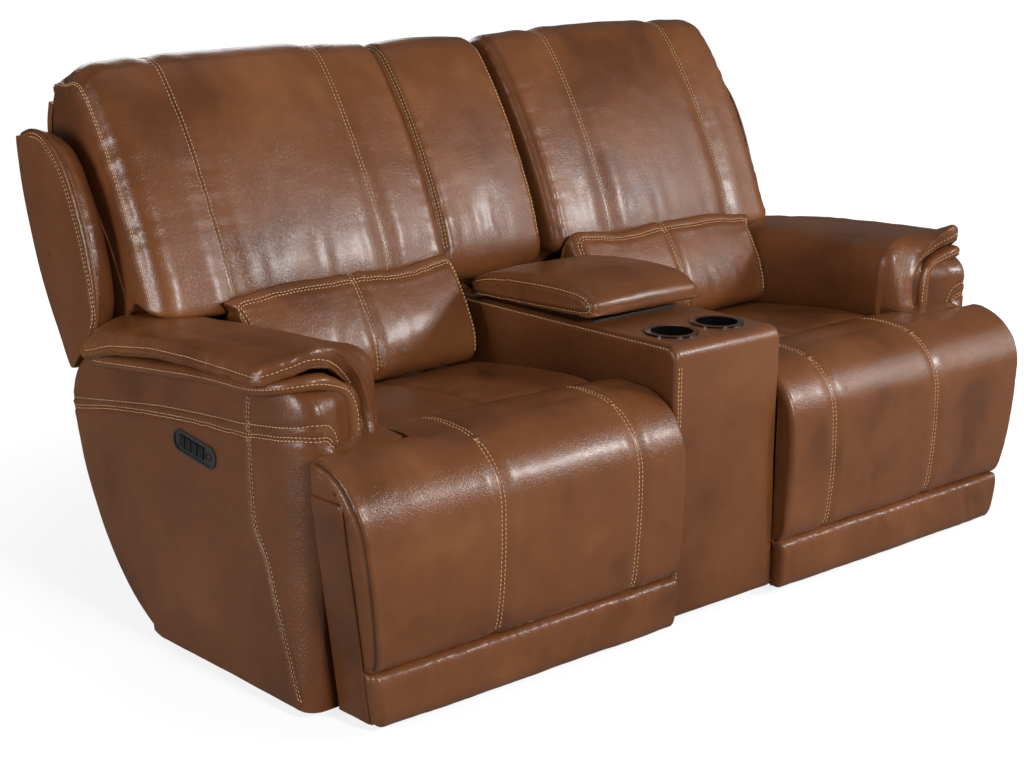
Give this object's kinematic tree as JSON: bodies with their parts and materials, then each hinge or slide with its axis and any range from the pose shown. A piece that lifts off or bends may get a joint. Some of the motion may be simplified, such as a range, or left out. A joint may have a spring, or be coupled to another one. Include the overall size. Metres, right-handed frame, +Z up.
{
  "type": "power reclining loveseat",
  "caption": "Two-seat power reclining sofa in brown leather with a centre console, reclining backs and swing-out footrests.",
  "frame": {"origin": "on the floor, at the centre of the closed loveseat's box", "axes": "+Z up, the front faces -Y, +X to the right as seen from the front"},
  "size_m": [2.002, 1.1198, 1.1112],
  "materials": {
    "leather_outer": "satin",
    "leather_cushion": "satin",
    "steel": "satin",
    "timber": "matte",
    "black_plastic": "gloss",
    "dark_plastic": "satin",
    "panel_trim": "satin"
  },
  "bodies": {
    "base": {"base_rails": "steel", "glides": "dark_plastic", "left_arm_frame": "timber", "right_arm_frame": "timber", "left_arm_cover": "leather_outer", "right_arm_cover": "leather_outer", "left_arm_pad": "leather_cushion", "right_arm_pad": "leather_cushion", "console_frame": "timber", "console_cover": "leather_outer", "console_bin": "dark_plastic", "cup_holders": "black_plastic", "console_back_frame": "timber", "console_back_cushion": "leather_cushion", "lid_hinge_base": "steel", "left_control_panel": "panel_trim", "right_control_panel": "panel_trim", "usb_ports": "black_plastic", "power_supply": "dark_plastic", "frame_bolts": "steel", "drive_motors": "steel", "left_side_plates": "steel", "right_side_plates": "steel", "seat_rails": "timber", "seat_springs": "steel", "left_seat_cushion": "leather_cushion", "right_seat_cushion": "leather_cushion"},
    "lid": {"lid_hinge_leaf": "steel", "lid_board": "timber", "lid_pad": "leather_cushion"},
    "left_button_1": {"left_button_1": "black_plastic"},
    "left_button_2": {"left_button_2": "black_plastic"},
    "left_button_3": {"left_button_3": "black_plastic"},
    "left_button_4": {"left_button_4": "black_plastic"},
    "left_back": {"left_back_frame": "timber", "left_back_shell": "leather_outer", "left_back_cushion": "leather_cushion", "left_lumbar_cushion": "leather_cushion"},
    "left_back_drive": {"left_back_drive": "steel"},
    "left_carrier": {"left_carrier": "steel"},
    "left_rear_link": {"left_rear_link": "steel"},
    "left_front_link": {"left_front_link": "steel"},
    "left_footrest": {"left_footrest_frame": "timber", "left_footrest_pad": "leather_cushion", "left_footrest_band": "leather_cushion"},
    "right_button_1": {"right_button_1": "black_plastic"},
    "right_button_2": {"right_button_2": "black_plastic"},
    "right_button_3": {"right_button_3": "black_plastic"},
    "right_button_4": {"right_button_4": "black_plastic"},
    "right_back": {"right_back_frame": "timber", "right_back_shell": "leather_outer", "right_back_cushion": "leather_cushion", "right_lumbar_cushion": "leather_cushion"},
    "right_back_drive": {"right_back_drive": "steel"},
    "right_carrier": {"right_carrier": "steel"},
    "right_rear_link": {"right_rear_link": "steel"},
    "right_front_link": {"right_front_link": "steel"},
    "right_footrest": {"right_footrest_frame": "timber", "right_footrest_pad": "leather_cushion", "right_footrest_band": "leather_cushion"}
  },
  "joints": [
    {"name": "lid_hinge", "type": "hinge", "parent": "base", "child": "lid", "pos_m": [0, 0.11507, 0.592], "axis": [-1, 0, 0], "range_deg": [0, 78]},
    {"name": "left_button_1_press", "type": "slide", "parent": "base", "child": "left_button_1", "axis": [1, 0, 0], "range_m": [0, 0.0012], "stiffness_N_per_m": 900, "springref_m": -0.0006},
    {"name": "left_button_2_press", "type": "slide", "parent": "base", "child": "left_button_2", "axis": [1, 0, 0], "range_m": [0, 0.0012], "stiffness_N_per_m": 900, "springref_m": -0.0006},
    {"name": "left_button_3_press", "type": "slide", "parent": "base", "child": "left_button_3", "axis": [1, 0, 0], "range_m": [0, 0.0012], "stiffness_N_per_m": 900, "springref_m": -0.0006},
    {"name": "left_button_4_press", "type": "slide", "parent": "base", "child": "left_button_4", "axis": [1, 0, 0], "range_m": [0, 0.0012], "stiffness_N_per_m": 900, "springref_m": -0.0006},
    {"name": "left_back_recline", "type": "hinge", "parent": "base", "child": "left_back", "pos_m": [-0.4525, 0.17507, 0.34], "axis": [-1, 0, 0], "range_deg": [0, 30]},
    {"name": "left_back_drive_slide", "type": "slide", "parent": "base", "child": "left_back_drive", "axis": [0, -1, 0], "range_m": [0, 0.0335]},
    {"name": "left_footrest_slide", "type": "slide", "parent": "base", "child": "left_carrier", "axis": [0, -1, 0], "range_m": [0, 0.2]},
    {"name": "left_footrest_swing", "type": "hinge", "parent": "left_carrier", "child": "left_footrest", "pos_m": [-0.4525, -0.46493, 0.4], "axis": [-1, 0, 0], "range_deg": [0, 90]},
    {"name": "left_rear_link_swing", "type": "hinge", "parent": "base", "child": "left_rear_link", "pos_m": [-0.4525, -0.26493, 0.33], "axis": [-1, 0, 0], "range_deg": [0, 25]},
    {"name": "left_front_link_swing", "type": "hinge", "parent": "left_rear_link", "child": "left_front_link", "pos_m": [-0.4525, -0.33222, 0.07886], "axis": [1, 0, 0], "range_deg": [0, 50]},
    {"name": "right_button_1_press", "type": "slide", "parent": "base", "child": "right_button_1", "axis": [-1, 0, 0], "range_m": [0, 0.0012], "stiffness_N_per_m": 900, "springref_m": -0.0006},
    {"name": "right_button_2_press", "type": "slide", "parent": "base", "child": "right_button_2", "axis": [-1, 0, 0], "range_m": [0, 0.0012], "stiffness_N_per_m": 900, "springref_m": -0.0006},
    {"name": "right_button_3_press", "type": "slide", "parent": "base", "child": "right_button_3", "axis": [-1, 0, 0], "range_m": [0, 0.0012], "stiffness_N_per_m": 900, "springref_m": -0.0006},
    {"name": "right_button_4_press", "type": "slide", "parent": "base", "child": "right_button_4", "axis": [-1, 0, 0], "range_m": [0, 0.0012], "stiffness_N_per_m": 900, "springref_m": -0.0006},
    {"name": "right_back_recline", "type": "hinge", "parent": "base", "child": "right_back", "pos_m": [0.4525, 0.17507, 0.34], "axis": [-1, 0, 0], "range_deg": [0, 30]},
    {"name": "right_back_drive_slide", "type": "slide", "parent": "base", "child": "right_back_drive", "axis": [0, -1, 0], "range_m": [0, 0.0335]},
    {"name": "right_footrest_slide", "type": "slide", "parent": "base", "child": "right_carrier", "axis": [0, -1, 0], "range_m": [0, 0.2]},
    {"name": "right_footrest_swing", "type": "hinge", "parent": "right_carrier", "child": "right_footrest", "pos_m": [0.4525, -0.46493, 0.4], "axis": [-1, 0, 0], "range_deg": [0, 90]},
    {"name": "right_rear_link_swing", "type": "hinge", "parent": "base", "child": "right_rear_link", "pos_m": [0.4525, -0.26493, 0.33], "axis": [-1, 0, 0], "range_deg": [0, 25]},
    {"name": "right_front_link_swing", "type": "hinge", "parent": "right_rear_link", "child": "right_front_link", "pos_m": [0.4525, -0.33222, 0.07886], "axis": [1, 0, 0], "range_deg": [0, 50]}
  ],
  "couplings": [
    {"joint": "left_back_drive_slide", "follows": "left_back_recline", "m_per_rad": 0.06398},
    {"joint": "left_footrest_swing", "follows": "left_footrest_slide", "rad_per_m": 7.854},
    {"joint": "left_rear_link_swing", "follows": "left_footrest_slide", "rad_per_m": 2.1817},
    {"joint": "left_front_link_swing", "follows": "left_footrest_slide", "rad_per_m": 4.3633},
    {"joint": "right_back_drive_slide", "follows": "right_back_recline", "m_per_rad": 0.06398},
    {"joint": "right_footrest_swing", "follows": "right_footrest_slide", "rad_per_m": 7.854},
    {"joint": "right_rear_link_swing", "follows": "right_footrest_slide", "rad_per_m": 2.1817},
    {"joint": "right_front_link_swing", "follows": "right_footrest_slide", "rad_per_m": 4.3633}
  ]
}
